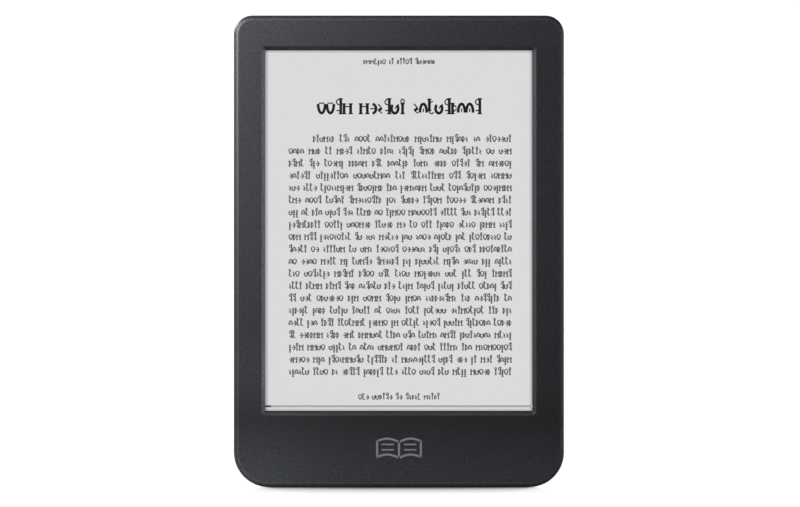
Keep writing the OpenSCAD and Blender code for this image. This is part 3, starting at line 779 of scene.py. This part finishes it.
class DimpleField:
    """A rectangle of the flat back made of brick-laid cells, each with a round dimple in its middle."""

    def __init__(self, shell):
        self.shell = shell
        self.pitch = 3.4
        self.row_h = self.pitch * math.sqrt(3) / 2
        self.low_z = 38.0
        side_border = 6.5
        top_border = 8.0
        self.columns = int((BODY_W - 2 * side_border) / self.pitch)
        self.rows = int((BODY_H - top_border - self.low_z) / self.row_h)
        self.half_w = self.columns * self.pitch / 2
        self.high_z = self.low_z + self.rows * self.row_h
        self.grid = {}

    def point(self, x, z, sink=0.0):
        return self.shell.verts.new(Vector((x, BACK_Y - sink, z)) * MM)

    def knot(self, column, row):
        """The shared corner at half-cell column and row of the field."""
        if (column, row) not in self.grid:
            x = column * self.pitch / 2 - self.half_w
            self.grid[column, row] = self.point(x, self.low_z + row * self.row_h)
        return self.grid[column, row]

    def face(self, corners, smooth=False):
        """A face of the corners, turned to look towards +Y."""
        made = self.shell.faces.new(corners)
        made.normal_update()
        if made.normal.y < 0:
            made.normal_flip()
        made.smooth = smooth

    def cell(self, column, row):
        """One cell from column to column + 2, with its dimple."""
        radius = 0.95
        depth = 0.3
        sides = 12
        middle_x = (column + 1) * self.pitch / 2 - self.half_w
        middle_z = self.low_z + (row + 0.5) * self.row_h
        ball_r = (radius ** 2 + depth ** 2) / (2 * depth)
        rings = []
        for sink in (0.0, 0.45 * depth, 0.84 * depth):
            r = math.sqrt(ball_r ** 2 - (ball_r - depth + sink) ** 2)
            ring = []
            for i in range(sides):
                turn = math.tau * i / sides
                ring.append(self.point(middle_x + r * math.cos(turn), middle_z + r * math.sin(turn), sink))
            rings.append(ring)
        rim = rings[0]
        corners = [self.knot(column + k, row + 1) for k in (2, 1, 0)]
        corners += [self.knot(column + k, row) for k in (0, 1, 2)]
        for k, corner in enumerate(corners):
            for i in (2 * k, 2 * k + 1):
                self.face((corner, rim[i], rim[(i + 1) % sides]))
            self.face((corner, rim[(2 * k + 2) % sides], corners[(k + 1) % len(corners)]))
        bottom = self.point(middle_x, middle_z, depth)
        for i in range(sides):
            j = (i + 1) % sides
            for outer, inner in zip(rings, rings[1:]):
                self.face((outer[i], outer[j], inner[j], inner[i]), smooth=True)
            self.face((rings[-1][i], rings[-1][j], bottom), smooth=True)

    def fill(self):
        """All the rows, every other one shifted by half a cell and closed by a half cell at each end."""
        last = 2 * self.columns
        for row in range(self.rows):
            shift = row % 2
            for column in range(shift, last - 1, 2):
                self.cell(column, row)
            if shift:
                for column in (0, last - 1):
                    self.face((self.knot(column, row), self.knot(column + 1, row),
                               self.knot(column + 1, row + 1), self.knot(column, row + 1)))

    def clear(self, margin):
        """Opens a rectangle a margin wider than the field in the flat back. Returns its sides."""
        x1 = self.half_w + margin
        z0 = self.low_z - margin
        z1 = self.high_z + margin
        walls = (("x", -x1), ("x", x1), ("z", z0), ("z", z1))
        for axis, place in walls:
            flat = [f for f in self.shell.faces if self.is_back(f)]
            around = set(flat)
            for f in flat:
                around.update(f.edges)
                around.update(f.verts)
            spot = Vector((place if axis == "x" else 0, BACK_Y, place if axis == "z" else 0)) * MM
            look = Vector((1, 0, 0)) if axis == "x" else Vector((0, 0, 1))
            bmesh.ops.bisect_plane(
                self.shell, geom=list(around), dist=SAME_PLACE * MM, plane_co=spot, plane_no=look)
        inside = []
        for f in self.shell.faces:
            centre = f.calc_center_median() / MM
            if self.is_back(f) and abs(centre.x) < x1 and z0 < centre.z < z1:
                inside.append(f)
        bmesh.ops.delete(self.shell, geom=inside, context="FACES")
        open_edges = [e for e in self.shell.edges if e.is_boundary]
        rim = {v for e in open_edges for v in e.verts}
        sides = []
        for axis, place in walls:
            along = "z" if axis == "x" else "x"
            line = [v for v in rim if abs(getattr(v.co, axis) / MM - place) < NEARLY_THERE]
            sides.append(sorted(line, key=lambda v: getattr(v.co, along)))
        return sides

    def is_back(self, face):
        return face.normal.y > 0.999 and abs(face.calc_center_median().y / MM - BACK_Y) < NEARLY_THERE

    def join(self, sides):
        """Four flat strips from the rectangle's sides to the field's own edge."""
        last = 2 * self.columns
        left = [self.knot(0, row) for row in range(self.rows + 1)]
        right = [self.knot(last, row) for row in range(self.rows + 1)]
        low = [self.knot(column, 0) for column in range(last + 1)]
        high = [self.knot(column, self.rows) for column in range(last + 1)]
        for outer, inner in zip(sides, (left, right, low, high)):
            self.face(outer + inner[::-1])


def make_back(material):
    """The rear cover with a field of shallow grip dimples above the button."""
    sharp_angle = 28
    field_margin = 0.8
    mesh = nodes["rear_cover"].data.copy()
    mesh.name = "back_shell"
    if "custom_normal" in mesh.attributes:
        mesh.attributes.remove(mesh.attributes["custom_normal"])
    shell = bmesh.new()
    shell.from_mesh(mesh)
    bmesh.ops.remove_doubles(shell, verts=shell.verts, dist=SAME_PLACE * MM)
    shell.normal_update()
    for face in shell.faces:
        face.smooth = True
    field = DimpleField(shell)
    for face in shell.faces:
        if field.is_back(face):
            face.smooth = False
    sides = field.clear(field_margin)
    field.fill()
    field.join(sides)
    shell.to_mesh(mesh)
    shell.free()
    mesh.materials.clear()
    mesh.materials.append(material)
    mesh.set_sharp_from_angle(angle=math.radians(sharp_angle))
    back = bpy.data.objects.new("back_shell", mesh)
    bpy.context.collection.objects.link(back)
    back.modifiers.new("flat faces stay flat", "WEIGHTED_NORMAL").keep_sharp = True
    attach(back, "reader")
    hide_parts("rear_cover")


# ---------------------------------------------------------------- studio

def add_light(name, place, target, size, power):
    """A rectangular soft light that points at the target. Places are in millimetres."""
    data = bpy.data.lights.new(name, "AREA")
    data.shape = "RECTANGLE"
    data.size = size[0] * MM
    data.size_y = size[1] * MM
    data.energy = power
    light = bpy.data.objects.new(name, data)
    bpy.context.collection.objects.link(light)
    light.location = Vector(place) * MM
    light.rotation_euler = (Vector(target) - Vector(place)).to_track_quat("-Z", "Y").to_euler()
    light.visible_camera = False


def painted_foot_shadow(paint):
    """The painted shadow on the floor at the object's foot, from how closed in each spot is: crisp at the
    shadow's ends, softer away from it.
    """
    reach = 260
    open_floor = 0.94
    darkest = 0.52
    foot_w = 45.4
    end_w = 1.5
    spread = 0.06
    spread_growth = 0.9
    openness = paint.nodes.new("ShaderNodeAmbientOcclusion")
    openness.inputs["Distance"].default_value = reach * MM
    openness.samples = 16
    split = paint.nodes.new("ShaderNodeSeparateXYZ")
    paint.links.new(paint.place, split.inputs[0])
    off_end = paint.maths("SUBTRACT", paint.maths("ABSOLUTE", split.outputs["X"]), foot_w * MM)
    away = paint.maths("ABSOLUTE", split.outputs["Y"])
    softness = paint.maths(
        "MULTIPLY_ADD", away, paint.maths("MULTIPLY_ADD", away, spread_growth, spread), end_w * MM)
    ends = paint.scaled(paint.maths("DIVIDE", off_end, softness), 1.0, -1.0)
    return paint.product([paint.scaled(openness.outputs["AO"], open_floor, darkest), ends])


def floor_white():
    """Shows the camera white with the painted shadow at the foot, and gives every other ray a pale matt
    floor.
    """
    white = 1.05
    bounce_power = 0.05
    paint = Paint("floor_white", (0.3, 0.3, 0.3), 0.9, specular_ior_level=0.0)
    paint.mottled(paint.noise(60, 2.0), (0.29, 0.29, 0.29), (0.31, 0.31, 0.31))
    seen = paint.nodes.new("ShaderNodeEmission")
    paint.links.new(paint.scaled(painted_foot_shadow(paint), 0, 1, white, 0.0), seen.inputs["Strength"])
    bounce = paint.nodes.new("ShaderNodeEmission")
    bounce.inputs["Strength"].default_value = bounce_power
    ray = paint.nodes.new("ShaderNodeLightPath")
    lit = paint.nodes.new("ShaderNodeAddShader")
    sweep = paint.nodes.new("ShaderNodeMixShader")
    paint.links.new(paint.shader.outputs[0], lit.inputs[0])
    paint.links.new(bounce.outputs[0], lit.inputs[1])
    paint.links.new(ray.outputs["Is Camera Ray"], sweep.inputs[0])
    paint.links.new(lit.outputs[0], sweep.inputs[1])
    paint.links.new(seen.outputs[0], sweep.inputs[2])
    paint.links.new(sweep.outputs[0], paint.nodes["Material Output"].inputs["Surface"])
    return paint


def make_floor():
    """A round pale sweep that the reader stands on."""
    radius = 900
    sides = 64
    mesh = bpy.data.meshes.new("floor")
    rim = []
    for i in range(sides):
        turn = math.tau * i / sides
        rim.append(Vector((radius * math.cos(turn), radius * math.sin(turn), 0)) * MM)
    mesh.from_pydata(rim, [], [tuple(range(sides))])
    mesh.materials.append(floor_white().material)
    floor = bpy.data.objects.new("floor", mesh)
    bpy.context.collection.objects.link(floor)


def make_world():
    """White where the camera looks past the floor, and dim for the light it gives."""
    white = 1.1
    dim = 0.06
    world = bpy.data.worlds.new("studio")
    world.use_nodes = True
    tree = world.node_tree
    backdrop = tree.nodes["Background"]
    backdrop.inputs["Color"].default_value = (1, 1, 1, 1)
    backdrop.inputs["Strength"].default_value = white
    room = tree.nodes.new("ShaderNodeBackground")
    room.inputs["Color"].default_value = (1, 1, 1, 1)
    room.inputs["Strength"].default_value = dim
    seen = tree.nodes.new("ShaderNodeLightPath")
    mix = tree.nodes.new("ShaderNodeMixShader")
    tree.links.new(seen.outputs["Is Camera Ray"], mix.inputs[0])
    tree.links.new(room.outputs[0], mix.inputs[1])
    tree.links.new(backdrop.outputs[0], mix.inputs[2])
    tree.links.new(mix.outputs[0], tree.nodes["World Output"].inputs["Surface"])
    bpy.context.scene.world = world


def make_lights():
    """A key from the upper left, a fill from the right, a wide top light and two soft ones behind."""
    middle = BODY_H / 2
    body = (0, 0, middle)
    add_light("key", (-160, -130, middle + 110), body, (120, 120), 0.7)
    add_light("right_fill", (420, -110, middle + 90), body, (300, 300), 0.52)
    add_light("top_fill", (0, -60, middle + 400), body, (400, 300), 0.128)
    add_light("back_left", (-330, 150, middle + 250), body, (160, 160), 1.9)
    add_light("back_right", (420, 420, middle + 60), body, (300, 300), 0.8)


def make_camera():
    """Straight on from far away, all but level with the middle of the reader."""
    field_w = 271.3
    sensor_w = 36.0
    distance = 4000.0
    aside = 0.35
    below = 0.75
    data = bpy.data.cameras.new("camera")
    data.sensor_fit = "HORIZONTAL"
    data.sensor_width = sensor_w
    data.lens = sensor_w * distance / field_w
    data.clip_end = 100.0
    camera = bpy.data.objects.new("camera", data)
    bpy.context.collection.objects.link(camera)
    camera.location = Vector((aside, FACE_Y - distance, BODY_H / 2 - below)) * MM
    camera.rotation_euler = (math.radians(90), 0, 0)
    bpy.context.scene.camera = camera


materials = make_materials()
for node, part in nodes.items():
    part.material_slots[0].material = materials[slot_of[node]]
dice = random.Random(SEED)
make_page(dice)
make_chin_mark()
make_back(materials["cover_plastic"])
make_floor()
make_world()
make_lights()
make_camera()
bpy.context.scene.view_settings.view_transform = "Standard"

bpy.context.view_layer.update()
